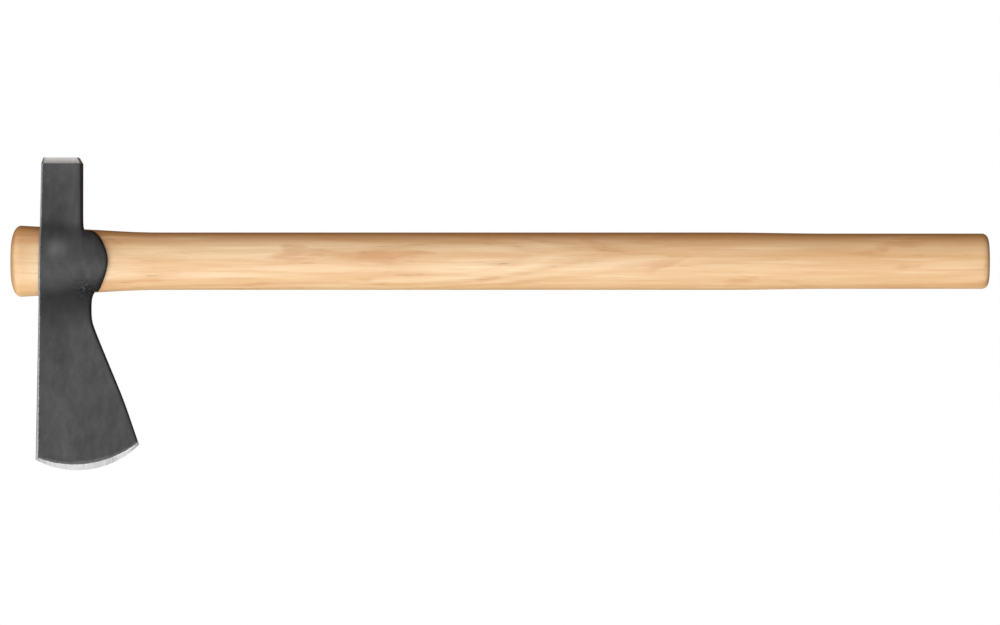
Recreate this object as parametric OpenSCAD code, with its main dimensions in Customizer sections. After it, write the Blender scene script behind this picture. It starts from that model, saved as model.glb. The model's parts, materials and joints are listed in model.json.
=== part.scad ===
// Hammer poll tomahawk.
//
// A forged steel head, with a hammer poll on one side and a flared blade on the
// other, slides up a tapered oval handle from the butt and wedges on its thick
// end. A set screw in one cheek stops it working loose.
//
// Each piece is drawn in the head's own coordinates: X runs along the handle from
// the head's front face to the butt, Y from the cutting edge to the poll, and Z
// from cheek to cheek. The tool is then laid down as it lies on a bench, on one
// cheek and its cutting edge, with the handle level.

/* [Handle] */
// Length of the handle, end to end
handle_length = 559; // [480:1:600]
// Length of the thick end that stands out in front of the head
nose_length = 16.8; // [14:0.1:25]
// Height of the shaft behind the head
shaft_height = 32.8; // [31:0.1:34]
// Thickness of the shaft
shaft_thickness = 22.4; // [20:0.1:22.5]
// Height of the handle at the butt
butt_height = 31.6; // [30:0.1:32.8]
// Radius of the rounded corner at the thick end
nose_round = 5.5; // [2:0.1:6]
// Radius of the rounded corner at the butt
butt_round = 4.5; // [1:0.1:8]

/* [Eye] */
// Height of the handle where it leaves the front of the head
eye_height = 39.4; // [38:0.1:41]
// Thickness of the handle there
eye_thickness = 24; // [23.8:0.1:25]
// Height that the handle loses in each millimetre towards the butt
height_taper = 0.114; // [0.1:0.002:0.12]
// Thickness that it loses in each millimetre
thickness_taper = 0.036; // [0.03:0.001:0.036]
// Gap between the handle and the eye, all round
slip_gap = 0.08; // [0.05:0.01:0.2]
// Wall of each cheek beside the eye, at the front of the head
cheek_wall = 4; // [3.8:0.1:5]
// Reach of the ears along the handle, from the front of the head
ear_reach = 39.3; // [36:0.1:42]

/* [Poll] */
// Distance from the handle's axis to the striking face
poll_reach = 59.1; // [50:0.1:70]
// Distance from the head's front to the poll's back
poll_back = 24.3; // [22:0.1:26]
// Thickness of the poll at the striking face
poll_thickness = 22; // [20:0.1:26]
// Thickness of the waist between the poll and the eye
waist_thickness = 20.4; // [18:0.1:24]
// Height of the bevel round the striking face
face_bevel = 3.4; // [1:0.1:5]

/* [Blade] */
// Distance from the head's front to the back of the neck
neck_width = 29; // [27:0.1:31]
// Thickness of the blade at the neck
neck_thickness = 13; // [11:0.1:15]
// Distance from the handle's axis to the toe, the edge's front corner
toe_reach = 113.4; // [105:0.1:120]
// Distance from the handle's axis to the heel, its back corner
heel_reach = 104.8; // [95:0.1:112]
// Radius of the cutting edge
edge_radius = 50; // [45:0.5:80]
// Thickness of the blade where the polished bevel starts
bevel_thickness = 2.2; // [1.6:0.1:3]
// Thickness that is left at the edge
edge_thickness = 0.3; // [0.2:0.05:0.6]

/* [Set screw] */
// Diameter of the screw
screw_diameter = 5.9; // [5.8:0.02:5.96]
// Diameter of its hole in the cheek
screw_hole = 6; // [6:0.02:6.04]
// Distance from the head's front to the screw
screw_place = 20; // [14:0.5:24]
// Hexagon socket, across its flats
socket_flats = 3; // [2.5:0.1:3.2]
// Depth of the socket
socket_depth = 2; // [1.5:0.1:2.2]

/* [Hidden] */

// Outline of the head, seen from the side
front_slope = 0.022; // how far the front edge leans forward, per millimetre down
flare_slope = 0.42; // how far the blade's back edge flares, per millimetre down
flare_start = 34.4; // distance below the axis where the flare begins
flare_bend = 1.5; // softness of that bend
flare_ease = 0.08; // slope lost again near the heel
ease_start = 80; // distance below the axis where it is lost
ear_top = 17.6; // how far each ear rises above the axis
ear_bottom = 17.5; // and how far it hangs below it
ear_point = 0.47; // slope of the ear's flanks away from its tip
ear_tip_round = 8; // softness of the ear's tip
ear_top_square = 4.2; // squareness of the ear's upper shoulder
ear_bottom_square = 8; // squareness of its lower shoulder
poll_root = [0.8, 1.6]; // fillet under the poll's back: width, and how fast it fades
neck_root = [2.2, 2.5]; // the same above the neck

// Boss round the eye: oval outside, tapered with the handle
boss_side_wall = 4; // wall above and below the eye, at the front
boss_height_taper = 0.27;
boss_thickness_taper = 0.05;
boss_blend = 6; // how far apart in thickness the boss and the body start to blend
body_end = 4; // length over which the body dies away at the root of the ears

// Levels along the head
neck_level = -30; // where the straight sections end and the fan of the blade begins
waist_level = 24;
bevel_start = 0.98; // share of the blade's length where the polished bevel starts
bevel_sag = 0.82; // sag of the bevel's upper line, as a share of the edge's
face_inset = [1.1, 2, 1.7]; // how far the face's bevel cuts in: front, back, cheeks
edge_break = 0.8; // chamfer along the head's long edges

// Fineness
across = 12; // steps across the head
sides = 64; // sides of the handle
round_steps = 5; // steps in a rounded end
ear_steps = 14; // steps from the ear's middle to its end

function mix(a, b, s) = a + (b - a) * s;
function soft_step(s) = let (c = min(max(s, 0), 1)) c * c * (3 - 2 * c);
function soft_plus(a, k) = (a + sqrt(a * a + k * k)) / 2;
function soft_max(a, b, k) = max(a, b) + pow(max(k - abs(a - b), 0), 2) / (4 * k);
function oval(y, tall, thick) = abs(y) < tall ? thick * sqrt(1 - pow(y / tall, 2)) : 2 * (tall - abs(y));
function squared(s, n) = pow(max(1 - pow(min(s, 1), n), 0), 1 / n);

// ---------------------------------------------------------------- handle

eye_tall = eye_height / 2;
eye_thick = eye_thickness / 2;
butt_end = handle_length - nose_length;

// A straight taper that levels out at a floor, with a soft bend 24 mm long
function levelled(start, slope, level, x) =
    let (bend = 12, reach = (start - level) / slope, over = reach + bend - x)
    over <= 0 ? level
    : over >= 2 * bend ? start - slope * x
    : level + slope * over * over / (4 * bend);

// Half height and half thickness of the handle at x
function handle_tall(x) =
    levelled(eye_tall, height_taper / 2, shaft_height / 2, x)
    - soft_step((x - 0.72 * butt_end) / 60) * (shaft_height - butt_height) / 2;
function handle_thick(x) =
    levelled(eye_thick, thickness_taper / 2, shaft_thickness / 2, x);

// An oval ring of points round the handle at x, cut in by inset
function oval_ring(x, tall, thick, inset = 0) = [
    for (i = [0 : sides - 1])
        let (a = 360 * (i + 0.5) / sides)
        [x, (tall - inset) * cos(a), (thick - inset) * sin(a)]
];

function corner_inset(radius, depth) = radius - sqrt(max(radius * radius - pow(radius - depth, 2), 0));

function nose_ring(i) =
    let (depth = nose_round * (1 - cos(90 * i / round_steps)), x = depth - nose_length)
    oval_ring(x, handle_tall(x), handle_thick(x), corner_inset(nose_round, depth));
function butt_ring(i) =
    let (depth = butt_round * (1 - cos(90 * i / round_steps)), x = butt_end - depth)
    oval_ring(x, handle_tall(x), handle_thick(x), corner_inset(butt_round, depth));

shaft_places = concat(
    [for (x = [44 : 4 : 72]) x],
    [for (i = [0 : 4]) 0.72 * butt_end + 15 * i]
);

handle_rings = concat(
    [for (i = [0 : round_steps]) nose_ring(i)],
    [for (x = shaft_places) oval_ring(x, handle_tall(x), handle_thick(x))],
    [for (i = [round_steps : -1 : 0]) butt_ring(i)]
);

// ---------------------------------------------------------------- head

function front(y) = front_slope * y;

function blade_back(y) =
    neck_width
    + neck_root[0] * exp(min(y + ear_bottom, 0) / neck_root[1])
    + soft_plus(flare_slope * (-flare_start - y), flare_bend)
    - soft_plus(flare_ease * (-ease_start - y), flare_bend / 3);

function poll_line(y) = poll_back + poll_root[0] * exp(min(ear_top - y, 0) / poll_root[1]);

// The ear's flank, before its shoulders are rounded
function flank(y) = ear_reach - ear_point * (sqrt(y * y + ear_tip_round * ear_tip_round) - ear_tip_round);

function back(y) =
    y >= ear_top ? poll_line(y)
    : y <= -ear_bottom ? blade_back(y)
    : y >= 0 ? mix(poll_line(ear_top), flank(y), squared(y / ear_top, ear_top_square))
    : mix(blade_back(-ear_bottom), flank(y), squared(-y / ear_bottom, ear_bottom_square));

boss_tall = eye_tall + boss_side_wall;
boss_thick = eye_thick + cheek_wall;

function boss(x, y) =
    oval(y, boss_tall - boss_height_taper / 2 * x, boss_thick - boss_thickness_taper / 2 * x);

// The body dies away where the ears leave the poll and the neck behind
function body_share(x, y) =
    let (root = mix(neck_width, poll_back, soft_step((y + ear_bottom) / (ear_top + ear_bottom))))
    abs(y) > ear_top ? 1 : 1 - soft_step((x - root) / body_end);

function half_thickness(x, y, body) =
    soft_max(body * body_share(x, y), boss(x, y), boss_blend);

// Half thickness of the plain body at level y, from the neck to the poll
function body_at(y) =
    y > waist_level
    ? mix(waist_thickness, poll_thickness, (y - waist_level) / (poll_reach - waist_level)) / 2
    : mix(neck_thickness, waist_thickness, (y - neck_level) / (waist_level - neck_level)) / 2;

// Sag of an arc of the edge's radius below its chord, at share s of the chord
function arc_sag(s, chord) =
    sqrt(edge_radius * edge_radius - pow(chord * (s - 0.5), 2))
    - sqrt(edge_radius * edge_radius - chord * chord / 4);

// Distance of the i-th point from the ring's front, in a ring of this width
function station(i, width, chamfer) =
    i == 0 ? 0
    : i == across ? width
    : mix(chamfer, width - chamfer, (i - 1) / (across - 2));

// One ring round the head. It runs from a front corner to a back corner, sags
// towards the cutting edge by a share of the edge's own sag, and is closed
// underneath by its mirror image.
function head_ring(front_y, back_y, sag, body, inset = [0, 0, 0]) =
    let (
        a = [front(front_y) + inset[0], front_y],
        b = [back(back_y) - inset[1], back_y],
        chord = norm(b - a),
        down = [(b - a)[1], (a - b)[0]] / chord,
        chamfer = min(edge_break, body * 0.4),
        top = [
            for (i = [0 : across])
                let (
                    s = station(i, chord, chamfer) / chord,
                    p = a + (b - a) * s + down * sag * arc_sag(s, chord),
                    corner = (i == 0 || i == across) ? chamfer : 0
                )
                [p[0], p[1], half_thickness(p[0], p[1], body) - corner - inset[2]]
        ]
    )
    concat(top, [for (i = [across : -1 : 0]) [top[i][0], top[i][1], -top[i][2]]]);

// A ring of the blade at share w of the way from the neck to the edge
function blade_ring(w) =
    head_ring(
        mix(neck_level, -toe_reach, w),
        mix(neck_level, -heel_reach, w),
        w < bevel_start ? bevel_sag * pow(w / bevel_start, 2)
        : mix(bevel_sag, 1, (w - bevel_start) / (1 - bevel_start)),
        w > bevel_start ? edge_thickness / 2
        : mix(neck_thickness, bevel_thickness, w / bevel_start) / 2
    );

function level_ring(y) = head_ring(y, y, 0, body_at(y));

blade_shares = concat([1], [for (i = [12 : -1 : 1]) bevel_start * i / 12]);
ear_levels = [for (i = [-ear_steps : ear_steps]) (i < 0 ? ear_bottom : ear_top) * sin(90 * i / ear_steps)];

head_rings = concat(
    [for (w = blade_shares) blade_ring(w)],
    [for (i = [0 : 7]) level_ring(mix(neck_level, -ear_bottom - 0.5, i / 7))],
    [for (y = ear_levels) level_ring(y)],
    [for (i = [1 : 5]) level_ring(mix(ear_top, waist_level, i / 5))],
    [for (i = [1 : 4]) level_ring(mix(waist_level, poll_reach - face_bevel, i / 4))],
    [head_ring(poll_reach, poll_reach, 0, body_at(poll_reach), face_inset)]
);

// ---------------------------------------------------------------- solids

// A closed skin over rings of equal length. Each ring's second half mirrors its
// first, so the ends close with a strip from each point to its mirror image.
module skin(rings) {
    m = len(rings[0]);
    last = (len(rings) - 1) * m;
    walls = [
        for (j = [0 : len(rings) - 2], i = [0 : m - 1])
            let (p = j * m + i, q = j * m + (i + 1) % m)
            each [[p, p + m, q], [q, p + m, q + m]]
    ];
    ends = [
        for (i = [0 : m / 2 - 2])
            let (p = i, q = m - 1 - i)
            each [
                [q, p, p + 1],
                [q, p + 1, q - 1],
                [last + q, last + p + 1, last + p],
                [last + q, last + q - 1, last + p + 1]
            ]
    ];
    polyhedron(points = [for (r = rings) each r], faces = concat(walls, ends), convexity = 6);
}

// The eye: the handle's own taper, a slip gap larger all round
module eye() {
    skin([
        for (x = [-8, 44])
            oval_ring(x, handle_tall(x) + slip_gap, handle_thick(x) + slip_gap)
    ]);
}

screw_top = boss_thick - boss_thickness_taper / 2 * screw_place - 0.3; // outer end, just below the cheek
screw_tip = handle_thick(screw_place) + 0.1; // inner end, just clear of the wood

module handle() {
    color("burlywood") skin(handle_rings);
}

module axe_head() {
    color("dimgray")
        difference() {
            skin(head_rings);
            eye();
            translate([screw_place, 0, -boss_thick - 1])
                cylinder(d = screw_hole, h = boss_thick + 1 - eye_thick / 2, $fn = 48);
        }
}

module set_screw() {
    point = 0.4; // chamfer at the tip
    length = screw_top - screw_tip;
    color("gray")
        translate([screw_place, 0, -screw_top])
            difference() {
                union() {
                    cylinder(d = screw_diameter, h = length - point, $fn = 48);
                    translate([0, 0, length - point])
                        cylinder(d1 = screw_diameter, d2 = screw_diameter - 2 * point, h = point, $fn = 48);
                }
                translate([0, 0, -1])
                    cylinder(d = socket_flats / cos(30), h = socket_depth + 1, $fn = 6);
            }
}

// ---------------------------------------------------------------- lying on a bench

// The lowest point of the cutting edge, from the handle's axis
toe = [front(-toe_reach), -toe_reach];
heel = [back(-heel_reach), -heel_reach];
edge_chord = norm(heel - toe);
centre_above_chord = sqrt(edge_radius * edge_radius - edge_chord * edge_chord / 4);
edge_reach = edge_radius
    - (toe[1] + heel[1]) / 2
    - centre_above_chord * (heel[0] - toe[0]) / edge_chord;

// The head leans until the boss and the bevel's shoulder touch the bench together
shoulder_rise =
    (1 - bevel_start) * ((toe_reach + heel_reach) / 2 + neck_level)
    + (1 - bevel_sag) * arc_sag(0.5, edge_chord);
shoulder_reach = edge_reach - shoulder_rise;
shoulder_half = bevel_thickness / 2;
spread = pow(shoulder_reach, 2) - pow(boss_tall, 2);
moment = shoulder_reach * shoulder_half;
extra_thickness = pow(boss_thick, 2) - pow(shoulder_half, 2);
lean = atan((sqrt(pow(moment, 2) + spread * extra_thickness) - moment) / spread);
axis_height = norm([boss_tall * sin(lean), boss_thick * cos(lean)]);
middle = [(butt_end - nose_length) / 2, (poll_reach - edge_reach) / 2 * cos(lean)];

// Puts the origin on the bench, under the middle of the tool
module lay_down() {
    translate([-middle[0], -middle[1], axis_height])
        rotate([lean, 0, 0])
            children();
}

lay_down() handle();
lay_down() axe_head();
lay_down() set_screw();
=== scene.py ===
"""Looks of the hammer poll tomahawk: forged head, hickory handle and set screw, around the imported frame.

Each piece is drawn in the head's own coordinates, in millimetres: X runs along the handle from the head's
front to the butt, Y from the cutting edge to the poll, and Z from cheek to cheek. It is then laid where the
frame says the tool lies, in metres.
"""

import json
import math

import bmesh
import bpy
import numpy as np
from mathutils import Euler, Matrix, Vector


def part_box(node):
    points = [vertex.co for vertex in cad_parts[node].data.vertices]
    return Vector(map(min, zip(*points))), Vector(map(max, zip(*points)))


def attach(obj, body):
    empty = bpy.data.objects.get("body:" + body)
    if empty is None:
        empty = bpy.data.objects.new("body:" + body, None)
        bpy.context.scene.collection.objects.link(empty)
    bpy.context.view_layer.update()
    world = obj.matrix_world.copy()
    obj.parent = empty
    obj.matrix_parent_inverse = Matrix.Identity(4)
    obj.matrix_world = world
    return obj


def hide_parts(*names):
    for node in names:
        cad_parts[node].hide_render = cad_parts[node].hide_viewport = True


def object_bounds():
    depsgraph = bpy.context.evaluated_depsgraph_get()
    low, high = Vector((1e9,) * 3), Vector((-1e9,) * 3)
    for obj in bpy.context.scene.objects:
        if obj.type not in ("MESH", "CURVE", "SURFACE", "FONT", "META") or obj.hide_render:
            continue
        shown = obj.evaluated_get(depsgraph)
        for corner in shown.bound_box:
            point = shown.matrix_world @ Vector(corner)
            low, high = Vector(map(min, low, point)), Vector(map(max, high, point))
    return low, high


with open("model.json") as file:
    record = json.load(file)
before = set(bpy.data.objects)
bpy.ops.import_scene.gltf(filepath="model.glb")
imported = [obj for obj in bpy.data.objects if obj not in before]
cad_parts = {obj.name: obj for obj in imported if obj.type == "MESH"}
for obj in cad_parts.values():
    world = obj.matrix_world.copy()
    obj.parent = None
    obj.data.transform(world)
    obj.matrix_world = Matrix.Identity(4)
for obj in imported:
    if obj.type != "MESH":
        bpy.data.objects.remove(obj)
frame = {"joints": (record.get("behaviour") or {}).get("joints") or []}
cad_low, cad_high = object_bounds()

# ---------------------------------------------------------------- sizes, in millimetres

MM = 0.001

EYE_TALL = 19.7  # half height and half thickness of the handle where it leaves the head's front
EYE_THICK = 12
TALL_TAPER = 0.057
THICK_TAPER = 0.018
SHAFT_TALL = 16.4
SHAFT_THICK = 11.2
TAPER_BEND = 12  # half the length over which a taper levels out
BUTT_DROP = 0.6  # half height lost again towards the butt
BUTT_DROP_START, BUTT_DROP_LENGTH = 0.72, 60  # its start, as a share of the way to the butt, and its length
NOSE_ROUND, NOSE_POWER = 6.3, 3.2  # depth of the rounding at each end, and how square it is
BUTT_ROUND, BUTT_POWER = 4.4, 6.0
SLIP_GAP = 0.08

FRONT_SLOPE = 0.022
NECK_WIDTH = 29
NECK_ROOT = (2.2, 2.5)
FLARE_SLOPE, FLARE_START, FLARE_BEND = 0.42, 34.4, 1.5
FLARE_EASE, EASE_START = 0.08, 80
EAR_REACH, EAR_TOP, EAR_BOTTOM = 39.3, 17.6, 17.5
EAR_POINT, EAR_TIP_ROUND = 0.47, 8
EAR_TOP_SQUARE, EAR_BOTTOM_SQUARE = 4.2, 8
POLL_BACK, POLL_REACH, POLL_ROOT = 24.3, 59.1, (0.8, 1.6)
POLL_THICKNESS, WAIST_THICKNESS, NECK_THICKNESS = 22, 20.4, 13
FACE_BEVEL, FACE_INSET = 3.4, (1.1, 2, 1.7)

TOE_REACH, HEEL_REACH, EDGE_RADIUS = 113.4, 104.8, 50
BEVEL_THICKNESS, EDGE_THICKNESS = 2.2, 0.3
BEVEL_START, BEVEL_SAG = 0.98, 0.82
NECK_LEVEL, WAIST_LEVEL = -30, 24

BOSS_WALL, BOSS_BLEND, BODY_END = 4, 6, 4
BOSS_TALL_TAPER, BOSS_THICK_TAPER = 0.135, 0.025

SCREW_PLACE, SCREW_RADIUS, SCREW_HOLE = 20, 2.95, 3.0
SOCKET_FLATS, SOCKET_DEPTH = 3, 2
THREAD_PITCH, THREAD_DEPTH = 1, 0.45
THREAD_FLANK, THREAD_CREST = 1.25, 0.12  # how steep the groove's sides are, and how wide its crest is

# ---------------------------------------------------------------- where the frame puts it

handle_low, handle_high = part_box("handle")
head_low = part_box("axe_head")[0]
screw_travel = next(j for j in frame["joints"] if j["name"] == "set_screw_travel")
lean = math.atan2(screw_travel["axis"][1], -screw_travel["axis"][2])
axis_place = (handle_low + handle_high) / 2
axis_place.x = head_low.x + FRONT_SLOPE * TOE_REACH * MM
LAID = Matrix.LocRotScale(axis_place, Euler((lean, 0, 0)), Vector((MM, MM, MM)))

NOSE_END = (handle_low.x - axis_place.x) / MM
BUTT_END = (handle_high.x - axis_place.x) / MM

# ---------------------------------------------------------------- shape of the handle and the head


def mix(a, b, share):
    return a + (b - a) * share


def soft_step(share):
    share = np.clip(share, 0, 1)
    return share * share * (3 - 2 * share)


def soft_plus(a, k):
    """Nothing below zero and the value itself above it, with a bend about k wide."""
    return (a + np.sqrt(a * a + k * k)) / 2


def soft_max(a, b, k):
    """The larger of two, with a fillet about k wide where they cross."""
    return np.maximum(a, b) + np.maximum(k - np.abs(a - b), 0) ** 2 / (4 * k)


def squared(share, power):
    """From 1 at share 0 to 0 at share 1, along a corner that is squarer as the power grows."""
    return np.maximum(1 - np.minimum(share, 1) ** power, 0) ** (1 / power)


def levelled(start, slope, level, x):
    """A straight taper that levels out at a floor, with a soft bend."""
    over = (start - level) / slope + TAPER_BEND - x
    bent = level + slope * over * over / (4 * TAPER_BEND)
    return np.where(over <= 0, level, np.where(over >= 2 * TAPER_BEND, start - slope * x, bent))


def handle_tall(x):
    drop = soft_step((x - BUTT_DROP_START * BUTT_END) / BUTT_DROP_LENGTH) * BUTT_DROP
    return levelled(EYE_TALL, TALL_TAPER, SHAFT_TALL, x) - drop


def handle_thick(x):
    return levelled(EYE_THICK, THICK_TAPER, SHAFT_THICK, x)


def front(y):
    """X of the head's leading side at height y."""
    return FRONT_SLOPE * y


def blade_back(y):
    """X of the blade's trailing side at height y: the neck, then the flare, easing off near the heel."""
    flare = soft_plus(FLARE_SLOPE * (-FLARE_START - y), FLARE_BEND)
    ease = soft_plus(FLARE_EASE * (-EASE_START - y), FLARE_BEND / 3)
    return NECK_WIDTH + NECK_ROOT[0] * np.exp(np.minimum(y + EAR_BOTTOM, 0) / NECK_ROOT[1]) + flare - ease


def poll_line(y):
    """X of the poll's trailing side at height y, with a small root at the ear."""
    return POLL_BACK + POLL_ROOT[0] * np.exp(np.minimum(EAR_TOP - y, 0) / POLL_ROOT[1])


def flank(y):
    """X of the ear's two straight flanks, which meet in a rounded tip."""
    return EAR_REACH - EAR_POINT * (np.sqrt(y * y + EAR_TIP_ROUND**2) - EAR_TIP_ROUND)


def back(y):
    """X of the head's trailing side at height y: up the blade, round the ear and up the poll."""
    y = np.asarray(y, float)
    upper_share = squared(np.maximum(y, 0) / EAR_TOP, EAR_TOP_SQUARE)
    lower_share = squared(np.maximum(-y, 0) / EAR_BOTTOM, EAR_BOTTOM_SQUARE)
    above = mix(poll_line(EAR_TOP), flank(y), upper_share)
    below = mix(blade_back(-EAR_BOTTOM), flank(y), lower_share)
    ear = np.where(y >= 0, above, below)
    return np.where(y >= EAR_TOP, poll_line(y), np.where(y <= -EAR_BOTTOM, blade_back(y), ear))


def boss(x, y):
    """Half thickness of the oval boss round the eye. It falls off steeply beyond the boss."""
    tall = EYE_TALL + BOSS_WALL - BOSS_TALL_TAPER * x
    thick = EYE_THICK + BOSS_WALL - BOSS_THICK_TAPER * x
    inside = thick * np.sqrt(np.maximum(1 - (y / tall) ** 2, 0))
    return np.where(np.abs(y) < tall, inside, 2 * (tall - np.abs(y)))


def body_share(x, y):
    """How much of the flat body is there: all of it, but for the ears, which belong to the boss alone."""
    root = mix(NECK_WIDTH, POLL_BACK, soft_step((y + EAR_BOTTOM) / (EAR_TOP + EAR_BOTTOM)))
    return np.where(np.abs(y) > EAR_TOP, 1, 1 - soft_step((x - root) / BODY_END))


def body_at(y):
    """Half thickness of the flat body, above the neck."""
    if y > WAIST_LEVEL:
        up = (y - WAIST_LEVEL) / (POLL_REACH - WAIST_LEVEL)
        return mix(WAIST_THICKNESS, POLL_THICKNESS, up) / 2
    down = (y - NECK_LEVEL) / (WAIST_LEVEL - NECK_LEVEL)
    return mix(NECK_THICKNESS, WAIST_THICKNESS, down) / 2


def arc_sag(share, chord):
    """Sag of the cutting edge's arc below its chord, at a share of the chord."""
    ends = math.sqrt(EDGE_RADIUS**2 - chord * chord / 4)
    return np.sqrt(EDGE_RADIUS**2 - (chord * (share - 0.5)) ** 2) - ends


def forged_waves(x, y, side):
    """How far the hammered skin lies below the ideal one, from 0 to 1, in waves a few millimetres long."""
    wave = np.sin(0.31 * x + 0.17 * y + side) + np.sin(0.13 * x - 0.37 * y + 2.1 * side)
    wave += 0.7 * np.sin(0.71 * x + 0.43 * y + 4 + side) + 0.7 * np.sin(0.53 * x - 0.83 * y + 1.3 * side)
    return 0.5 + wave / 6.8


# ---------------------------------------------------------------- meshes


def mesh_piece(name, points, faces):
    mesh = bpy.data.meshes.new(name)
    mesh.from_pydata([tuple(p) for p in points], [], faces)
    mesh.validate()
    mesh.update()
    piece = bpy.data.objects.new(name, mesh)
    bpy.context.scene.collection.objects.link(piece)
    return piece


def walls(rings, around):
    """Faces between neighbouring rings, each a closed loop of the same number of points."""
    faces = []
    for j in range(rings - 1):
        near, far = j * around, (j + 1) * around
        for i in range(around):
            after = (i + 1) % around
            faces.append((near + i, near + after, far + after, far + i))
    return faces


FILLET_STEPS = 7
MIDDLE_STEPS = 44
EDGE_STEPS = 6
CHEEK_POINTS = 2 * FILLET_STEPS + MIDDLE_STEPS + 1  # points of a ring on each cheek
BEVEL_RINGS, BLADE_RINGS, NECK_RINGS, EAR_RINGS, POLL_RINGS, FACE_RINGS = 4, 96, 18, 36, 50, 5
EAR_LEDGE = 0.3  # the last ring of the neck stops this far under the ear
FRONT_ROUND, BACK_ROUND = 1.5, 1.1  # how far in from each long edge the rounding starts
ROUND_DEPTH = 1.1
FORGED_DEPTH = 0.09
CALM_BESIDE_EDGE, CALM_ABOVE_BEVEL, CALM_BELOW_FACE = 6, 0.08, 5  # where the hammered skin fades out
ROOT_SOFTNESS, ROOT_SAMPLES, ROOT_FADE = 2.4, 7, 1.3  # how the boss's root is softened
FACE_EASE = 0.06
OVAL_SIDES, HOLE_SIDES, SHAFT_RINGS, EYE_RINGS = 128, 64, 150, 12
EYE_BREAK, EYE_BEFORE, EYE_START, EYE_BEYOND = 0.7, 6, 2.0, 44  # broken front edge, and the cutter's ends
MOUTH_BEFORE, MOUTH_WIDER, MOUTH_DEPTH, HOLE_INTO_EYE = 2, 2.4, 0.4, 1.5  # the screw hole's countersink
HEAD_CREASE, HANDLE_CREASE, SCREW_CREASE = 24, 50, 35  # degrees past which an edge stays crisp


def head_ring(front_y, back_y, sag, body, inset=(0, 0, 0), rough=1.0):
    """One ring round the head: over the upper cheek from front edge to back edge, and back underneath."""
    a = np.array([front(front_y) + inset[0], front_y])
    b = np.array([float(back(back_y)) - inset[1], back_y])
    chord = float(np.linalg.norm(b - a))
    down = np.array([(b - a)[1], (a - b)[0]]) / chord
    depth = min(ROUND_DEPTH, 0.5 * body)
    in_front, in_back = FRONT_ROUND, min(BACK_ROUND, body)
    turn = 1 - np.cos(np.linspace(0, math.pi / 2, FILLET_STEPS + 1))
    middle = np.linspace(in_front, chord - in_back, MIDDLE_STEPS + 1)[1:-1]
    along = np.concatenate([in_front * turn, middle, chord - in_back * turn[::-1]])
    share = along / chord
    flat = a + np.outer(share, b - a) + np.outer(sag * arc_sag(share, chord), down)
    x, y = flat[:, 0], flat[:, 1]
    from_end = np.minimum(along, chord - along)
    into_corner = np.maximum(np.maximum(1 - along / in_front, 1 - (chord - along) / in_back), 0)
    corner = depth * (1 - np.sqrt(np.maximum(1 - into_corner**2, 0)))
    full = half_thickness(x, y, body) - inset[2]
    depths = soft_step(from_end / CALM_BESIDE_EDGE) * rough * FORGED_DEPTH
    top = full - corner - depths * forged_waves(x, y, 0.0)
    under = -(full - corner - depths * forged_waves(x, y, 1.7))
    edge = np.linspace(0, 1, EDGE_STEPS + 1)[1:-1]
    back_wall = [(x[-1], y[-1], mix(top[-1], under[-1], e)) for e in edge]
    front_wall = [(x[0], y[0], mix(under[0], top[0], e)) for e in edge]
    upper = list(zip(x, y, top))
    lower = list(zip(x, y, under))[::-1]
    return upper + back_wall + lower + front_wall


def half_thickness(x, y, body):
    """Half the head's thickness, with the boss's root softened by averaging along the head."""
    shifts = np.linspace(-ROOT_SOFTNESS, ROOT_SOFTNESS, ROOT_SAMPLES)
    weights = np.cos(shifts / ROOT_SOFTNESS * ROOT_FADE)
    heights = [soft_max(body * body_share(x, y), boss(x, y + shift), BOSS_BLEND) for shift in shifts]
    return sum(w * h for w, h in zip(weights, heights)) / weights.sum()


def blade_ring(w):
    """A ring of the blade: w is 0 at the neck, BEVEL_START at the bevel's shoulder and 1 at the edge."""
    sag = BEVEL_SAG * (w / BEVEL_START) ** 2
    body = mix(NECK_THICKNESS, BEVEL_THICKNESS, w / BEVEL_START) / 2
    if w > BEVEL_START:
        ground = (w - BEVEL_START) / (1 - BEVEL_START)
        sag = mix(BEVEL_SAG, 1, ground)
        body = mix(BEVEL_THICKNESS, EDGE_THICKNESS, ground) / 2
    rough = soft_step((BEVEL_START - w) / CALM_ABOVE_BEVEL)
    toe_side, heel_side = mix(NECK_LEVEL, -TOE_REACH, w), mix(NECK_LEVEL, -HEEL_REACH, w)
    return head_ring(toe_side, heel_side, sag, body, rough=rough)


def level_ring(y, inset=(0, 0, 0)):
    rough = soft_step((POLL_REACH - FACE_BEVEL - y) / CALM_BELOW_FACE)
    return head_ring(y, y, 0, body_at(y), inset, rough)


def face_ring(share):
    """A ring of the chamfer round the striking face, from its foot to the face, with eased ends."""
    eased = share + FACE_EASE * math.sin(2 * math.pi * share) / math.pi
    return level_ring(mix(POLL_REACH - FACE_BEVEL, POLL_REACH, share), [eased * i for i in FACE_INSET])


def head_rings():
    rings = [blade_ring(mix(BEVEL_START, 1, i / BEVEL_RINGS)) for i in range(BEVEL_RINGS, 0, -1)]
    rings += [blade_ring(BEVEL_START * i / BLADE_RINGS) for i in range(BLADE_RINGS, 0, -1)]
    rings += [level_ring(y) for y in np.linspace(NECK_LEVEL, -EAR_BOTTOM - EAR_LEDGE, NECK_RINGS)]
    for i in range(-EAR_RINGS, EAR_RINGS + 1):
        reach = EAR_BOTTOM if i < 0 else EAR_TOP
        rings.append(level_ring(reach * math.sin(math.pi / 2 * i / EAR_RINGS)))
    rings += [level_ring(y) for y in np.linspace(EAR_TOP, POLL_REACH - FACE_BEVEL, POLL_RINGS)[1:]]
    rings += [face_ring(i / FACE_RINGS) for i in range(1, FACE_RINGS + 1)]
    return rings


def turned_angles(sides):
    """Even angles round a circle, from half a step past zero."""
    return [2 * math.pi * (i + 0.5) / sides for i in range(sides)]


def oval_ring(x, tall, thick):
    return [(x, tall * math.cos(a), thick * math.sin(a)) for a in turned_angles(OVAL_SIDES)]


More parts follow.
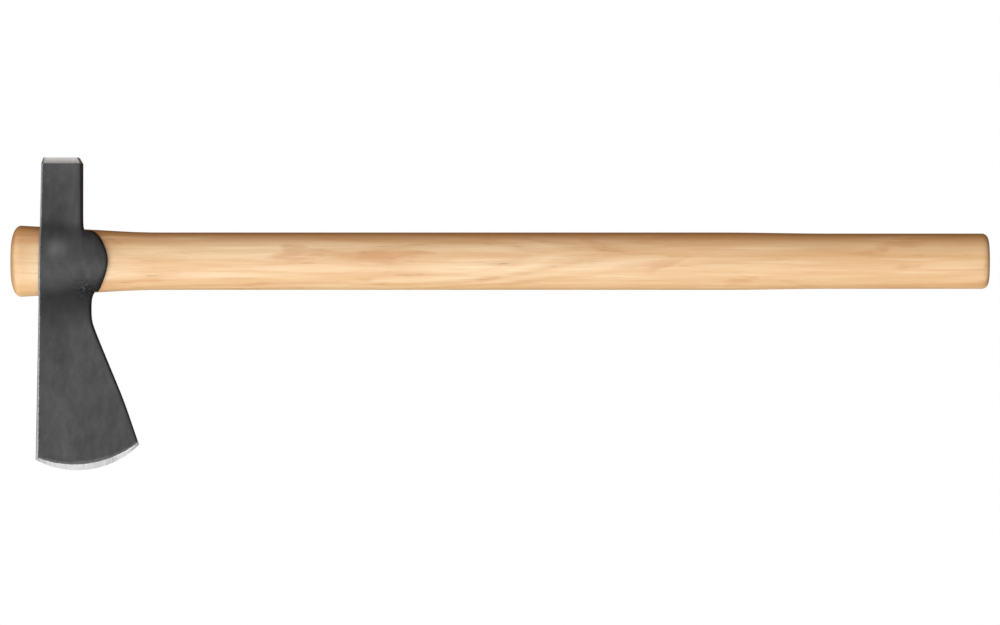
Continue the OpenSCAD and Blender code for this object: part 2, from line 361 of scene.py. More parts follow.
def eye_half_sizes(x, wider=0.0):
    """Half height and half thickness of the eye at x: the handle's, the slip gap and any more asked for."""
    return float(handle_tall(x)) + SLIP_GAP + wider, float(handle_thick(x)) + SLIP_GAP + wider


def closed_tube(name, rings):
    """A closed solid through the rings, with a flat face at each end."""
    around = len(rings[0])
    faces = walls(len(rings), around)
    faces.append(tuple(range(around))[::-1])
    faces.append(tuple((len(rings) - 1) * around + i for i in range(around)))
    return mesh_piece(name, [p for r in rings for p in r], faces)


def cut(piece, cutter):
    """Takes the cutter away from the piece, for good."""
    modifier = piece.modifiers.new("cut", "BOOLEAN")
    modifier.object = cutter
    modifier.operation = "DIFFERENCE"
    modifier.solver = "EXACT"
    graph = bpy.context.evaluated_depsgraph_get()
    mesh = bpy.data.meshes.new_from_object(piece.evaluated_get(graph))
    piece.modifiers.clear()
    piece.data = mesh
    bpy.data.objects.remove(cutter)


def eye_cutter():
    """The eye, a slip gap larger than the handle, with a broken edge at the head's front."""
    rings = []
    for x, wider in [(-EYE_BEFORE, EYE_BEFORE + EYE_BREAK), (EYE_BREAK, 0)]:
        ring = oval_ring(x, *eye_half_sizes(x, wider))
        rings.append([(px + front(py), py, pz) for px, py, pz in ring])
    rings += [oval_ring(x, *eye_half_sizes(x)) for x in np.linspace(EYE_START, EYE_BEYOND, EYE_RINGS)]
    return closed_tube("eye_cutter", rings)


def screw_hole_cutter():
    """The set screw's hole through the lower cheek, with a small countersink at its mouth."""
    mouth = -(EYE_THICK + BOSS_WALL - BOSS_THICK_TAPER * SCREW_PLACE)
    profile = [
        (mouth - MOUTH_BEFORE, SCREW_HOLE + MOUTH_WIDER),
        (mouth + MOUTH_DEPTH, SCREW_HOLE),
        (-EYE_THICK + HOLE_INTO_EYE, SCREW_HOLE),
    ]
    rings = []
    for z, radius in profile:
        angles = turned_angles(HOLE_SIDES)
        rings.append([(SCREW_PLACE + radius * math.cos(a), radius * math.sin(a), z) for a in angles])
    return closed_tube("screw_hole_cutter", rings)


def outward(piece):
    """Turns every face outward."""
    work = bmesh.new()
    work.from_mesh(piece.data)
    bmesh.ops.recalc_face_normals(work, faces=work.faces)
    work.to_mesh(piece.data)
    work.free()


def local_points(mesh):
    points = np.zeros(len(mesh.vertices) * 3, np.float32)
    mesh.vertices.foreach_get("co", points)
    return points.reshape(-1, 3).astype(float)


def bevel_share(x, y):
    """How far a point is down the polished bevel: below 0 above it, 0 at its shoulder, 1 at the edge."""
    shoulder = np.array(blade_ring(BEVEL_START))[:CHEEK_POINTS]
    edge = np.array(blade_ring(1.0))[:CHEEK_POINTS]
    shoulder_y = np.interp(x, shoulder[:, 0], shoulder[:, 1])
    edge_y = np.interp(x, edge[:, 0], edge[:, 1])
    return (shoulder_y - y) / (shoulder_y - edge_y)


SCAR_PLACE, SCAR_SPREAD = (26, -15.5), 22  # centre, and square of its radius
# where the painted highlight on the boss lies, and how far it spreads
BOSS_HIGHLIGHT_PLACE, BOSS_HIGHLIGHT_SPREAD = (9.7, 7.4), (34, 24)
HEEL_START, HEEL_LENGTH = 42, 10
# widths of the painted shade in the creases above and below the boss, and how strong the upper one is
UPPER_ROOT_WIDTH, LOWER_ROOT_WIDTH, BELOW_ROOT_WIDTH = 5, 6, 14
UPPER_ROOT_SHARE = 0.4
EAR_SHOULDER, EAR_SHOULDER_WIDTH = 12, 6  # where the painted shade along the back edge is widest
# how wide the painted shade along the back edge is, and how much wider it grows at the ear's shoulders
BACK_EDGE_SHADE_WIDTH, BACK_EDGE_SHADE_WIDER = 1.2, 1.4
FRONT_WALL_FACING, EYE_RIM_REACH = 0.03, 1.12  # what counts as the front wall, where the edge's wear and painted highlight stop
ROOT_INSET = 2  # how far inside the boss's outline the painted crease shade is darkest
# how far from the back edge its painted shade reaches, and how far from the front edge its wear and painted
# highlight reach
BACK_EDGE_SHADE_REACH, WEAR_AND_HIGHLIGHT_REACH = 9, 6
WEAR_AND_HIGHLIGHT_ABOVE_NECK = 15  # where the front edge's wear and painted highlight start to grow wider


def paint_marks(piece):
    """Writes down, point by point, what the steel's finish depends on, including where shade and a
    highlight are painted on.
    """
    mesh = piece.data
    x, y, z = local_points(mesh).T
    normals = np.array([n.vector for n in mesh.vertex_normals])
    at_eye = np.hypot(y / EYE_TALL, z / EYE_THICK) < EYE_RIM_REACH
    on_front_wall = (np.abs(normals[:, 2]) < FRONT_WALL_FACING) | at_eye
    root = EYE_TALL + BOSS_WALL - BOSS_TALL_TAPER * x - ROOT_INSET
    upper_root = np.exp(-(((y - root) / UPPER_ROOT_WIDTH) ** 2))
    lower_width = np.where(y > -root, LOWER_ROOT_WIDTH, BELOW_ROOT_WIDTH)
    lower_root = np.exp(-(((y + root) / lower_width) ** 2))
    at_shoulder = np.exp(-(((np.abs(y) - EAR_SHOULDER) / EAR_SHOULDER_WIDTH) ** 2))
    back_edge_shade_width = BACK_EDGE_SHADE_WIDTH + BACK_EDGE_SHADE_WIDER * at_shoulder
    scar_distance = (x - SCAR_PLACE[0]) ** 2 + (y - SCAR_PLACE[1]) ** 2
    boss_highlight_x = (x - BOSS_HIGHLIGHT_PLACE[0]) ** 2 / BOSS_HIGHLIGHT_SPREAD[0]
    boss_highlight_y = (y - BOSS_HIGHLIGHT_PLACE[1]) ** 2 / BOSS_HIGHLIGHT_SPREAD[1]
    marks = {
        # painted shade in the creases where the boss meets the poll and the neck
        "painted_crease_shade": UPPER_ROOT_SHARE * upper_root + lower_root,
        # painted shade along the back edge and round the ear
        "back_edge_shade": np.exp(-((np.clip(back(y) - x, 0, BACK_EDGE_SHADE_REACH) / back_edge_shade_width) ** 2)),
        # the front edge's wear, brightened as a painted highlight
        "from_front": np.where(on_front_wall, WEAR_AND_HIGHLIGHT_REACH, np.clip(x - front(y), 0, WEAR_AND_HIGHLIGHT_REACH)),
        "down_blade": np.clip((NECK_LEVEL + WEAR_AND_HIGHLIGHT_ABOVE_NECK - y) / (TOE_REACH + NECK_LEVEL), 0, 1),
        "bevel": np.clip(bevel_share(x, y), -2, 1),
        "face": np.clip(y - (POLL_REACH - FACE_BEVEL), -2, 4),
        "heel": np.clip((x - HEEL_START) / HEEL_LENGTH, 0, 1),
        "scar": np.exp(-scar_distance / SCAR_SPREAD),
        # painted highlight on the boss
        "boss_highlight": np.exp(-(boss_highlight_x + boss_highlight_y)),
    }
    for name, values in marks.items():
        mesh.attributes.new(name, "FLOAT", "POINT").data.foreach_set("value", values.astype(np.float32))


def finish_piece(piece, body, node, materials):
    piece.data.transform(LAID)
    piece.data.update()
    for material in materials:
        piece.data.materials.append(material)
    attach(piece, body)
    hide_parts(node)
    return piece


def smooth_but_sharp(mesh, degrees):
    """Smooth shading, with every edge that bends more than this kept crisp."""
    mesh.polygons.foreach_set("use_smooth", [True] * len(mesh.polygons))
    mesh.set_sharp_from_angle(angle=math.radians(degrees))


EYE_WALL_REACH, EYE_WALL_FACING = 1.05, 0.4
HOLE_WALL_REACH, HOLE_WALL_FACING = 0.05, 0.5


def is_bored(centre, normal):
    """Whether a face of the head is in the eye's wall or the screw's hole, by its place and direction."""
    x, y, z = centre
    tall, thick = eye_half_sizes(x)
    slope_y, slope_z = y / tall**2, z / thick**2
    to_axis = -(slope_y * normal.y + slope_z * normal.z) / math.hypot(slope_y, slope_z)
    in_eye = math.hypot(y / tall, z / thick) < EYE_WALL_REACH and to_axis > EYE_WALL_FACING
    beside_screw = math.hypot(x - SCREW_PLACE, y) < SCREW_HOLE + HOLE_WALL_REACH
    return in_eye or (beside_screw and z < 0 and abs(normal.z) < HOLE_WALL_FACING)


def end_cap(base, around):
    """Faces that close the head's first or last ring, in strips from the upper cheek to the lower one."""
    upper, wall = CHEEK_POINTS, EDGE_STEPS - 1
    loop = list(range(base, base + around))
    lower = loop[upper + wall : 2 * upper + wall][::-1]
    strip = [(loop[i], loop[i + 1], lower[i + 1], lower[i]) for i in range(upper - 1)]
    left = [loop[0], lower[0]] + loop[2 * upper + wall :]
    right = [loop[upper - 1]] + loop[upper : upper + wall] + [lower[upper - 1]]
    return strip + [tuple(left), tuple(right)]


def make_head(blackened, bore):
    rings = head_rings()
    around = len(rings[0])
    faces = walls(len(rings), around)
    faces += end_cap(0, around)
    faces += [face[::-1] for face in end_cap((len(rings) - 1) * around, around)]
    head = mesh_piece("tomahawk_head", [p for r in rings for p in r], faces)
    outward(head)
    for cutter in (eye_cutter(), screw_hole_cutter()):
        outward(cutter)
        cut(head, cutter)
    mesh = head.data
    mesh.materials.clear()
    paint_marks(head)
    smooth_but_sharp(mesh, HEAD_CREASE)
    for polygon in mesh.polygons:
        polygon.material_index = 1 if is_bored(polygon.center, polygon.normal) else 0
    return finish_piece(head, "head", "axe_head", [blackened, bore])


# ---------------------------------------------------------------- handle and screw


END_STEPS = 16


def end_profile(depth, power):
    """How an end rounds over: its distance from the very end and its share of the section, face first."""
    shares = [math.sin(math.pi / 2 * (i + 1) / END_STEPS) for i in range(END_STEPS)]
    return [(depth * (1 - math.sqrt(max(1 - s**power, 0))), s) for s in shares]


def handle_ring(x, share=1.0):
    return oval_ring(x, float(handle_tall(x)) * share, float(handle_thick(x)) * share)


def make_handle(wood):
    first, last = NOSE_END + NOSE_ROUND, BUTT_END - BUTT_ROUND
    rings = [handle_ring(NOSE_END + depth, share) for depth, share in end_profile(NOSE_ROUND, NOSE_POWER)]
    rings += [handle_ring(x) for x in np.linspace(first, last, SHAFT_RINGS)[1:-1]]
    butt = [handle_ring(BUTT_END - depth, share) for depth, share in end_profile(BUTT_ROUND, BUTT_POWER)]
    rings += butt[::-1]
    handle = closed_tube("hickory_handle", rings)
    outward(handle)
    smooth_but_sharp(handle.data, HANDLE_CREASE)
    return finish_piece(handle, "handle", "handle", [wood])


SCREW_SUNK, TIP_GAP = 0.3, 0.1  # from the cheek's surface to the screw, and from its tip to the wood
SCREW_TOP = EYE_THICK + BOSS_WALL - BOSS_THICK_TAPER * SCREW_PLACE - SCREW_SUNK
SCREW_TIP = float(handle_thick(SCREW_PLACE)) + TIP_GAP
SCREW_SIDES, SCREW_ROWS = 72, 64
SCREW_ANGLES = [2 * math.pi * i / SCREW_SIDES for i in range(SCREW_SIDES)]
TOP_CHAMFER, TIP_CHAMFER, TIP_FLAT = 0.35, 0.4, 0.8
SOCKET_CONE, SOCKET_POINT = 0.25, 0.02  # the drilled cone at the socket's foot, and its blunt point
SOCKET_BREAK_DEPTH, SOCKET_BREAK_WIDTH = 0.15, 0.12


def screw_ring(radii, depth):
    """A ring of the screw at a depth below its outer end, by its radius at each angle."""
    z = depth - SCREW_TOP
    return [(SCREW_PLACE + r * math.cos(a), r * math.sin(a), z) for r, a in zip(radii, SCREW_ANGLES)]


def hexagon_radius(angle):
    return SOCKET_FLATS / 2 / math.cos((angle + math.pi / 6) % (math.pi / 3) - math.pi / 6)


def thread_radius(depth, angle):
    """The thread's radius: turn goes from 0 on its crest to 1 in its groove and back, once a pitch."""
    turn = abs(((depth / THREAD_PITCH - angle / (2 * math.pi)) % 1) * 2 - 1)
    return SCREW_RADIUS - THREAD_DEPTH * min(max(THREAD_FLANK * turn - THREAD_CREST, 0), 1)


def make_screw(steel):
    """The set screw: a helical thread, a hexagon socket in its outer end and a flat point."""
    length = SCREW_TOP - SCREW_TIP
    hexagon = [hexagon_radius(angle) for angle in SCREW_ANGLES]
    rings = [
        screw_ring([SOCKET_POINT] * SCREW_SIDES, SOCKET_DEPTH + SOCKET_CONE),
        screw_ring([SOCKET_FLATS / 2] * SCREW_SIDES, SOCKET_DEPTH),
        screw_ring(hexagon, SOCKET_DEPTH),
        screw_ring(hexagon, SOCKET_BREAK_DEPTH),
        screw_ring([radius + SOCKET_BREAK_WIDTH for radius in hexagon], 0),
    ]
    for i in range(SCREW_ROWS + 1):
        depth = length * i / SCREW_ROWS
        limit = SCREW_RADIUS - max(TOP_CHAMFER - depth, 0) - max(depth - (length - TIP_CHAMFER), 0)
        radii = [min(thread_radius(depth, angle), limit) for angle in SCREW_ANGLES]
        rings.append(screw_ring(radii, depth))
    rings.append(screw_ring([TIP_FLAT] * SCREW_SIDES, length))
    screw = closed_tube("socket_set_screw", rings)
    outward(screw)
    smooth_but_sharp(screw.data, SCREW_CREASE)
    return finish_piece(screw, "set_screw", "set_screw", [steel])


# ---------------------------------------------------------------- materials


def linear(*rgb):
    """A colour given as 0 to 255 on the screen, as linear light."""
    return tuple((c / 255 / 12.92) if c <= 10 else ((c / 255 + 0.055) / 1.055) ** 2.4 for c in rgb)


DARK_SCALE, SCALE, PALE_SCALE = linear(53, 53, 54), linear(64, 64, 65), linear(76, 75, 75)
# painted shade for the creases round the boss and for the back edge, and the black of the real pits
SHADED_SCALE, BACK_EDGE_SHADE_BLACK, PITTED_SCALE = linear(28, 28, 29), linear(15, 15, 15), linear(18, 18, 18)
# a painted highlight for the boss, the real rubbed specks, and the grey beside the bevel
PAINTED_HIGHLIGHT_GREY, RUBBED, BESIDE_BEVEL = linear(112, 112, 112), linear(76, 76, 76), linear(106, 106, 107)
DULL_SILVER, SILVER, BRIGHT_SILVER = (0.24, 0.24, 0.245), (0.37, 0.37, 0.375), (0.8, 0.8, 0.805)
# bare steel at the front edge's wear, brightened as a painted highlight
BARE_HIGHLIT_STEEL = (0.4, 0.4, 0.41)

PALE, HONEY, ROSE = linear(243, 214, 173), linear(229, 189, 141), linear(207, 150, 98)
BUTT_TINT, NOSE_TINT = linear(226, 172, 112), linear(222, 182, 132)
# painted shade for the handle's side towards the poll and its side towards the edge
POLL_SIDE_PAINTED_SHADE, EDGE_SIDE_PAINTED_SHADE = linear(198, 130, 56), linear(226, 174, 108)
BLUSH, PATCH, GLEAM = linear(225, 172, 126), linear(206, 148, 100), linear(250, 224, 184)
FIBRE, PORE, END_GRAIN = linear(196, 148, 100), linear(128, 84, 48), linear(176, 126, 78)
RING_DISTANCE = 0.0031  # between growth rings, in metres


class Finish:
    """A material's nodes, with short ways to add them."""

    def __init__(self, name):
        self.material = bpy.data.materials.new(name)
        self.material.use_nodes = True
        self.tree = self.material.node_tree
        self.tree.nodes.clear()
        self.where = self.add("ShaderNodeTexCoord").outputs["Object"]

    def add(self, kind, inputs=None, **settings):
        made = self.tree.nodes.new(kind)
        for name, value in settings.items():
            setattr(made, name, value)
        for name, value in (inputs or {}).items():
            self.join(made.inputs[name], value)
        return made

    def join(self, socket, value):
        """Links a socket to the value, or sets it where the value is a number, a vector or a colour."""
        if isinstance(value, bpy.types.NodeSocket):
            self.tree.links.new(value, socket)
        elif hasattr(socket.default_value, "__len__") and len(socket.default_value) == 4:
            socket.default_value = (*value[:3], 1)
        else:
            socket.default_value = value

    def stretched(self, scale, where=None):
        nodes = {"Vector": where or self.where, "Scale": scale}
        return self.add("ShaderNodeMapping", nodes).outputs["Vector"]

    def noise(self, where, scale, detail=3.0, roughness=0.5, distortion=0.0):
        values = {"Vector": where, "Scale": scale, "Detail": detail}
        values.update({"Roughness": roughness, "Distortion": distortion})
        return self.add("ShaderNodeTexNoise", values).outputs["Fac"]

    def mark(self, name):
        """A number that paint_marks wrote on each point."""
        return self.add("ShaderNodeAttribute", attribute_name=name).outputs["Fac"]

    def sum(self, operation, a, b=0.0, c=0.0):
        made = self.add("ShaderNodeMath", operation=operation)
        for socket, value in zip(made.inputs, (a, b, c)):
            self.join(socket, value)
        return made.outputs[0]

    def band(self, value, low, high, to_low=0.0, to_high=1.0):
        """Value taken smoothly from low..high to to_low..to_high."""
        values = {"Value": value, "From Min": low, "From Max": high, "To Min": to_low, "To Max": to_high}
        made = self.add("ShaderNodeMapRange", values, interpolation_type="SMOOTHSTEP")
        return made.outputs["Result"]

    def blend(self, share, a, b):
        """Colour a, with this share of it turned to b."""
        made = self.add("ShaderNodeMix", data_type="RGBA")
        for socket, value in zip((made.inputs[0], made.inputs[6], made.inputs[7]), (share, a, b)):
            self.join(socket, value)
        return made.outputs[2]

    def ramp(self, value, *stops):
        """A colour by value, from stops of (place, colour)."""
        made = self.add("ShaderNodeValToRGB", {"Fac": value})
        line = made.color_ramp
        while len(line.elements) < len(stops):
            line.elements.new(0.5)
        for element, (place, colour) in zip(line.elements, stops):
            element.position = place
            element.color = (*colour, 1)
        return made.outputs["Color"]

    def bump(self, height, distance, strength=1.0, normal=None):
        values = {"Height": height, "Distance": distance, "Strength": strength}
        if normal is not None:
            values["Normal"] = normal
        return self.add("ShaderNodeBump", values).outputs["Normal"]

    def finish(self, **inputs):
        """The material with these inputs on its shader, given with _ for the spaces in their names."""
        shader = self.add("ShaderNodeBsdfPrincipled", {k.replace("_", " "): v for k, v in inputs.items()})
        self.add("ShaderNodeOutputMaterial", {"Surface": shader.outputs[0]})
        return self.material


def scale_noises(f):
    """The scale's noises: clouds and mottling drawn out along the blade, fine grit, and their mix."""
    drawn = f.stretched((1, 0.45, 1))
    cloud = f.noise(drawn, 55, 3, 0.55)
    mottle = f.noise(drawn, 260, 4, 0.6)
    grit = f.noise(f.where, 1700, 2, 0.6)
    tone = f.sum("ADD", f.sum("MULTIPLY", cloud, 0.5), f.sum("MULTIPLY", mottle, 0.35))
    tone = f.sum("ADD", tone, f.sum("MULTIPLY", grit, 0.15))
    return cloud, mottle, grit, tone


def black_scale(f, cloud, mottle, tone):
    """Black scale, with painted shade in its creases, darker painted shade at its back edge, and a painted
    highlight on the boss.
    """
    black = f.ramp(tone, (0.36, DARK_SCALE), (0.5, SCALE), (0.66, PALE_SCALE))
    # painted shade in the creases round the boss
    painted_crease_shade = f.sum("MULTIPLY", f.mark("painted_crease_shade"), f.band(mottle, 0.2, 0.8, 0.55, 0.8))
    black = f.blend(painted_crease_shade, black, SHADED_SCALE)
    # painted highlight on the boss
    boss_highlight = f.sum("MULTIPLY", f.mark("boss_highlight"), f.band(cloud, 0.3, 0.6, 0.45, 0.8))
    black = f.blend(boss_highlight, black, PAINTED_HIGHLIGHT_GREY)
    # painted shade along the back edge and round the ear
    back_edge_shade = f.sum("MULTIPLY", f.mark("back_edge_shade"), f.band(mottle, 0.3, 0.7, 0.6, 1.0))
    return f.blend(back_edge_shade, black, BACK_EDGE_SHADE_BLACK)


def scarred(f, black):
    """The scale with a patch of pits and rubbed specks below the boss, and how deep the pits are."""
    pitting = f.noise(f.where, 500, 2, 0.6)
    scar = f.sum("MULTIPLY", f.mark("scar"), f.band(pitting, 0.5, 0.6))
    black = f.blend(scar, black, PITTED_SCALE)
    rubbed = f.sum("MULTIPLY", f.mark("scar"), f.band(pitting, 0.44, 0.34))
    return f.blend(rubbed, black, RUBBED), scar


def edge_wear_and_highlight(f):
    """How far the front edge shows wear, brightened as a painted highlight: wider down the blade, with a
    ragged inner line.
    """
    ragged = f.band(f.noise(f.where, 700, 3, 0.6), 0.2, 0.8, -0.25, 0.25)
    width = f.sum("ADD", f.sum("MULTIPLY_ADD", f.mark("down_blade"), 0.5, 0.85), ragged)
    return f.band(f.sum("SUBTRACT", width, f.mark("from_front")), -0.2, 0.3)


def ground_silver(f, lines):
    """Colour of the ground steel, in fine lines, brightest on the striking face and at the edge's heel."""
    silver = f.ramp(lines, (0.25, DULL_SILVER), (0.75, SILVER))
    silver = f.blend(f.band(f.mark("face"), -0.6, 2.8, 0, 0.85), silver, BRIGHT_SILVER)
    return f.blend(f.sum("MULTIPLY", f.mark("heel"), 0.8), silver, BRIGHT_SILVER)


def forged_steel():
    """Blackened forging scale on the head, with painted shade and a painted highlight, bright ground bevel,
    striking face, and wear along the front edge brightened as a painted highlight.
    """
    f = Finish("blackened_forging")
    cloud, mottle, grit, tone = scale_noises(f)
    black, scar = scarred(f, black_scale(f, cloud, mottle, tone))
    wear_and_highlight = edge_wear_and_highlight(f)
    wander = f.band(f.noise(f.where, 300, 2, 0.5), 0.2, 0.8, -0.05, 0.05)
    ground = f.band(f.sum("ADD", f.mark("bevel"), wander), -0.02, 0.04)
    above_bevel = f.band(f.sum("MULTIPLY_ADD", wander, 4, f.mark("bevel")), -0.6, -0.3, 0, 0.5)
    struck = f.band(f.sum("ADD", f.mark("face"), wander), -0.12, 0.12)
    bright = f.sum("MAXIMUM", ground, struck)
    lines = f.noise(f.stretched((1, 0.06, 0.06)), 2600, 2, 0.6)
    black = f.blend(above_bevel, black, BESIDE_BEVEL)
    # bare steel along the front edge's wear, brightened as a painted highlight
    edge_steel = f.blend(f.sum("MULTIPLY", wear_and_highlight, 0.8), black, BARE_HIGHLIT_STEEL)
    colour = f.blend(bright, edge_steel, ground_silver(f, lines))
    shine = f.sum("MAXIMUM", bright, f.sum("MULTIPLY", wear_and_highlight, 0.7))
    rough = f.sum("ADD", f.band(tone, 0.3, 0.7, 0.58, 0.46), f.sum("MULTIPLY", f.mark("painted_crease_shade"), 0.3))
    scale_rough = f.sum("MULTIPLY", rough, f.sum("SUBTRACT", 1, bright))
    rough = f.sum("ADD", scale_rough, f.sum("MULTIPLY", bright, 0.4))
    scale_height = f.sum("ADD", f.sum("MULTIPLY", mottle, 0.6), f.sum("MULTIPLY", grit, 0.25))
    scale_height = f.sum("ADD", scale_height, f.sum("MULTIPLY", scar, -1.5))
    dull = f.sum("SUBTRACT", 1, f.sum("MULTIPLY", bright, 0.96))
    normal = f.bump(f.sum("MULTIPLY", scale_height, dull), 0.00009)
    normal = f.bump(f.sum("MULTIPLY", lines, bright), 0.000008, normal=normal)
    return f.finish(
        Base_Color=colour,
        Metallic=f.band(shine, 0, 1, 0.08, 1.0),
        Roughness=rough,
        Specular_IOR_Level=0.22,
        Normal=normal,
    )


def bored_steel():
    """The eye's wall and the screw hole: broached steel, darkened with oil."""
    f = Finish("broached_steel")
    marks = f.noise(f.stretched((0.05, 1, 1)), 900, 3, 0.6)
    colour = f.ramp(marks, (0.3, linear(52, 50, 48)), (0.7, linear(92, 89, 85)))
    rough = f.band(marks, 0.3, 0.7, 0.55, 0.38)
    return f.finish(Base_Color=colour, Metallic=0.7, Roughness=rough, Normal=f.bump(marks, 0.00004))


def screw_steel():
    f = Finish("screw_black_oxide")
    fine = f.noise(f.where, 2500, 3, 0.6)
    colour = f.ramp(fine, (0.3, linear(70, 71, 74)), (0.7, linear(120, 121, 124)))
    rough = f.band(fine, 0.3, 0.7, 0.42, 0.28)
    return f.finish(Base_Color=colour, Metallic=0.9, Roughness=rough, Normal=f.bump(fine, 0.00001))


def growth_rings(f, wood, x, y, z):
    """Growth rings by distance from the tree's heart, which runs below the handle, not quite parallel."""
    sway = f.noise(f.stretched((1, 4, 4), wood), 6.5, 1, 0.4)
    straight_y = f.sum("MULTIPLY_ADD", x, 0.016, 0.004)
    sway_y = f.sum("MULTIPLY_ADD", sway, 0.010, -0.005)
    heart_y = f.sum("ADD", straight_y, sway_y)
    straight_z = f.sum("MULTIPLY_ADD", x, -0.024, 0.052)
    sway_z = f.sum("MULTIPLY_ADD", sway, 0.014, -0.007)
    heart_z = f.sum("ADD", straight_z, sway_z)
    offset = {"X": 0.0, "Y": f.sum("ADD", y, heart_y), "Z": f.sum("ADD", z, heart_z)}
    across = f.add("ShaderNodeCombineXYZ", offset).outputs["Vector"]
    radius = f.add("ShaderNodeVectorMath", {0: across}, operation="LENGTH").outputs["Value"]
    wobble = f.noise(f.stretched((0.25, 3, 3), wood), 40, 2, 0.5)
    year = f.sum("ADD", f.sum("MULTIPLY", radius, 1 / RING_DISTANCE), f.sum("MULTIPLY", wobble, 0.8))
    growth = f.ramp(
        f.sum("FRACT", year),
        (0.0, (0.5, 0.5, 0.5)),
        (0.14, (0.32, 0.32, 0.32)),
        (0.5, (0.04, 0.04, 0.04)),
        (0.84, (0.24, 0.24, 0.24)),
        (1.0, (0.5, 0.5, 0.5)),
    )
    faint = f.band(f.noise(f.stretched((0.5, 3, 3), wood), 22, 2, 0.5), 0.35, 0.7, 0.25, 1.0)
    return f.sum("MULTIPLY", growth, faint)


def wood_tones(f, wood, x, y):
    """The wood's ground colour: pale and honey streaks, tinted at the butt and the nose, with painted shade
    along both long sides.
    """
    streak = f.noise(f.stretched((0.045, 1, 1), wood), 210, 3, 0.55, 0.15)
    colour = f.blend(f.band(streak, 0.36, 0.68), PALE, HONEY)
    colour = f.blend(f.band(x, 0.25, 0.5, 0, 0.4), colour, BUTT_TINT)
    colour = f.blend(f.band(x, 0.0, -0.01, 0, 0.6), colour, NOSE_TINT)
    # painted shade, strong along the side towards the poll and light along the side towards the edge
    colour = f.blend(f.band(y, 0.007, 0.0165, 0, 0.75), colour, POLL_SIDE_PAINTED_SHADE)
    return f.blend(f.band(y, -0.009, -0.0155, 0, 0.32), colour, EDGE_SIDE_PAINTED_SHADE)


def wood_streaks(f, wood, colour):
    """The colour with long pinkish, brown and pale streaks over it."""
    blush = f.noise(f.stretched((0.09, 1, 1), wood), 95, 2, 0.5)
    colour = f.blend(f.band(blush, 0.55, 0.75, 0, 0.4), colour, BLUSH)
    patch = f.noise(f.stretched((0.2, 1, 1), wood), 120, 2, 0.5, 0.4)
    colour = f.blend(f.band(patch, 0.56, 0.72, 0, 0.5), colour, PATCH)
    gleam = f.noise(f.stretched((0.04, 1, 1), wood), 330, 2, 0.5)
    return f.blend(f.band(gleam, 0.6, 0.78, 0, 0.5), colour, GLEAM)


def hickory():
    """Pale oiled hickory: growth rings cut nearly flat on the upper face, long streaks and fine pores."""
    f = Finish("oiled_hickory")
    placed = {"Vector": f.where, "Location": axis_place, "Rotation": (lean, 0, 0)}
    wood = f.add("ShaderNodeMapping", placed, vector_type="TEXTURE").outputs["Vector"]
    along = f.add("ShaderNodeSeparateXYZ", {"Vector": wood})
    x, y, z = (along.outputs[k] for k in "XYZ")
    figure = growth_rings(f, wood, x, y, z)
    colour = f.blend(figure, wood_tones(f, wood, x, y), ROSE)
    colour = wood_streaks(f, wood, colour)
    fibre = f.noise(f.stretched((0.02, 1, 1), wood), 1500, 3, 0.6)
    colour = f.blend(f.band(fibre, 0.25, 0.75, 0.0, 0.22), colour, FIBRE)
    pore = f.noise(f.stretched((0.03, 1, 1), wood), 2300, 1, 0.5)
    pores = f.sum("MULTIPLY", f.band(pore, 0.66, 0.74), f.band(figure, 0.05, 0.5, 0.15, 0.75))
    colour = f.blend(pores, colour, PORE)
    facing = f.add("ShaderNodeSeparateXYZ", {"Vector": f.add("ShaderNodeNewGeometry").outputs["Normal"]})
    end_grain = f.band(f.sum("ABSOLUTE", facing.outputs["X"]), 0.55, 0.95, 0, 0.45)
    colour = f.blend(end_grain, colour, END_GRAIN)
    height = f.sum("SUBTRACT", f.sum("MULTIPLY", fibre, 0.5), pores)
    rough = f.band(fibre, 0.2, 0.8, 0.4, 0.5)
    return f.finish(Base_Color=colour, Roughness=rough, Normal=f.bump(height, 0.00004, 0.7))


# ---------------------------------------------------------------- stage, light and camera

middle = (cad_low + cad_high) / 2
HEAD_RIGHT, HEAD_UP, HEAD_OUT = (Vector(LAID.col[i][:3]).normalized() for i in range(3))
SEEN_WIDTH, LENS, SENSOR = 0.5711, 300, 36  # metres across the picture at the tool, and two in millimetres
BELOW_AXIS = 0.0293  # how far the picture's middle lies below the handle's axis
LOW_SURROUND, HIGH_SURROUND = (0.1, 0.05, 0.016, 1), (0.5, 0.5, 0.5, 1)
BRIGHT_SIDE = (-0.1, -0.85, 0.5)
DOME_RADIUS, DOME_ROWS, DOME_SIDES = 18.0, 12, 64


def from_middle(right, up, out):
    """A point by how far it is from the tool's middle along the handle, towards the poll and outward."""
    return middle + HEAD_RIGHT * right + HEAD_UP * up + HEAD_OUT * out


def aim(thing, target, up):
    """Points a camera or light, which looks down its own -Z, at the target."""
    back_way = (thing.location - target).normalized()
    right = up.cross(back_way).normalized()
    turned = Matrix((right, back_way.cross(right), back_way)).transposed()
    thing.rotation_euler = turned.to_euler()


def make_camera():
    """Square on to the cheek, far enough back to flatten the view."""
    data = bpy.data.cameras.new("camera")
    data.lens = LENS
    data.sensor_width = SENSOR
    camera = bpy.data.objects.new("camera", data)
    bpy.context.scene.collection.objects.link(camera)
    target = axis_place - HEAD_UP * BELOW_AXIS
    target.x = (handle_low.x + handle_high.x) / 2
    camera.location = target + HEAD_OUT * (SEEN_WIDTH * LENS / SENSOR)
    aim(camera, target, HEAD_UP)
    bpy.context.scene.camera = camera


def softbox(name, place, size, watts):
    data = bpy.data.lights.new(name, "AREA")
    data.shape = "RECTANGLE"
    data.size, data.size_y = size
    data.energy = watts
    lamp = bpy.data.objects.new(name, data)
    bpy.context.scene.collection.objects.link(lamp)
    lamp.location = place
    aim(lamp, middle, HEAD_UP)


def make_lights():
    softbox("key_softbox", from_middle(-1.15, -1.35, 3.0), size=(4.2, 3.6), watts=129)
    softbox("front_edge_strip", from_middle(-1.3, -0.25, 0.3), size=(0.3, 0.8), watts=2)
    softbox("poll_strip", from_middle(-0.2, 1.2, 0.75), size=(0.9, 0.25), watts=1.5)


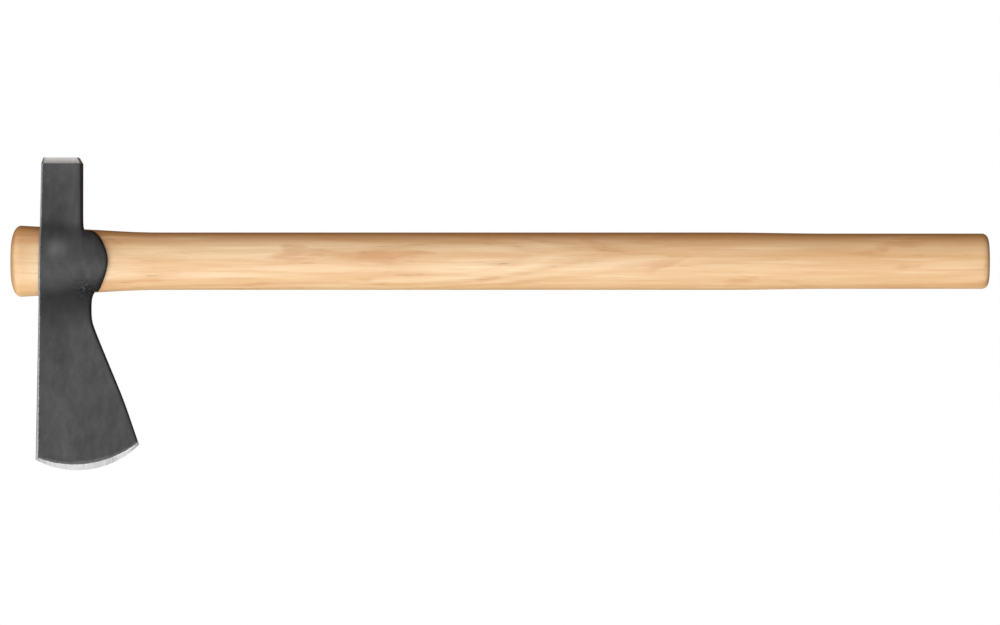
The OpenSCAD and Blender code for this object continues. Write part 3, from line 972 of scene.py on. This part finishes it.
def make_world():
    """A dim surround, lighter on the cutting edge's side and overhead."""
    world = bpy.data.worlds.new("surround")
    bpy.context.scene.world = world
    world.use_nodes = True
    tree = world.node_tree
    tree.nodes.clear()
    where = tree.nodes.new("ShaderNodeTexCoord")
    towards = tree.nodes.new("ShaderNodeVectorMath")
    towards.operation = "DOT_PRODUCT"
    towards.inputs[1].default_value = Vector(BRIGHT_SIDE).normalized() / 2
    lifted = tree.nodes.new("ShaderNodeMath")
    lifted.inputs[1].default_value = 0.5
    shades = tree.nodes.new("ShaderNodeValToRGB")
    shades.color_ramp.elements[0].color = LOW_SURROUND
    shades.color_ramp.elements[1].color = HIGH_SURROUND
    background = tree.nodes.new("ShaderNodeBackground")
    output = tree.nodes.new("ShaderNodeOutputWorld")
    tree.links.new(where.outputs["Generated"], towards.inputs[0])
    tree.links.new(towards.outputs["Value"], lifted.inputs[0])
    tree.links.new(lifted.outputs[0], shades.inputs["Fac"])
    tree.links.new(shades.outputs["Color"], background.inputs["Color"])
    tree.links.new(background.outputs[0], output.inputs["Surface"])


def make_stage():
    """A white floor that runs up into a white dome. Both are seen by the camera but throw no light."""
    points = [(0, 0, 0)]
    for i in range(DOME_ROWS + 1):
        rise = math.pi / 2 * i / DOME_ROWS
        reach, height = DOME_RADIUS * math.cos(rise), DOME_RADIUS * math.sin(rise)
        for k in range(DOME_SIDES):
            angle = 2 * math.pi * k / DOME_SIDES
            points.append((reach * math.cos(angle), reach * math.sin(angle), height))
    floor = [(0, 1 + k, 1 + (k + 1) % DOME_SIDES) for k in range(DOME_SIDES)]
    dome = [tuple(corner + 1 for corner in face) for face in walls(DOME_ROWS + 1, DOME_SIDES)]
    stage = mesh_piece("stage", points, floor + dome)
    material = bpy.data.materials.new("white_stage")
    material.use_nodes = True
    tree = material.node_tree
    tree.nodes.clear()
    glow = tree.nodes.new("ShaderNodeEmission")
    output = tree.nodes.new("ShaderNodeOutputMaterial")
    tree.links.new(glow.outputs[0], output.inputs["Surface"])
    stage.data.materials.append(material)
    stage.visible_diffuse = False
    stage.visible_glossy = False
    stage.visible_transmission = False
    stage.visible_shadow = False


bpy.context.scene.view_settings.view_transform = "Standard"
make_camera()
make_lights()
make_world()
make_stage()
make_head(forged_steel(), bored_steel())
make_handle(hickory())
make_screw(screw_steel())
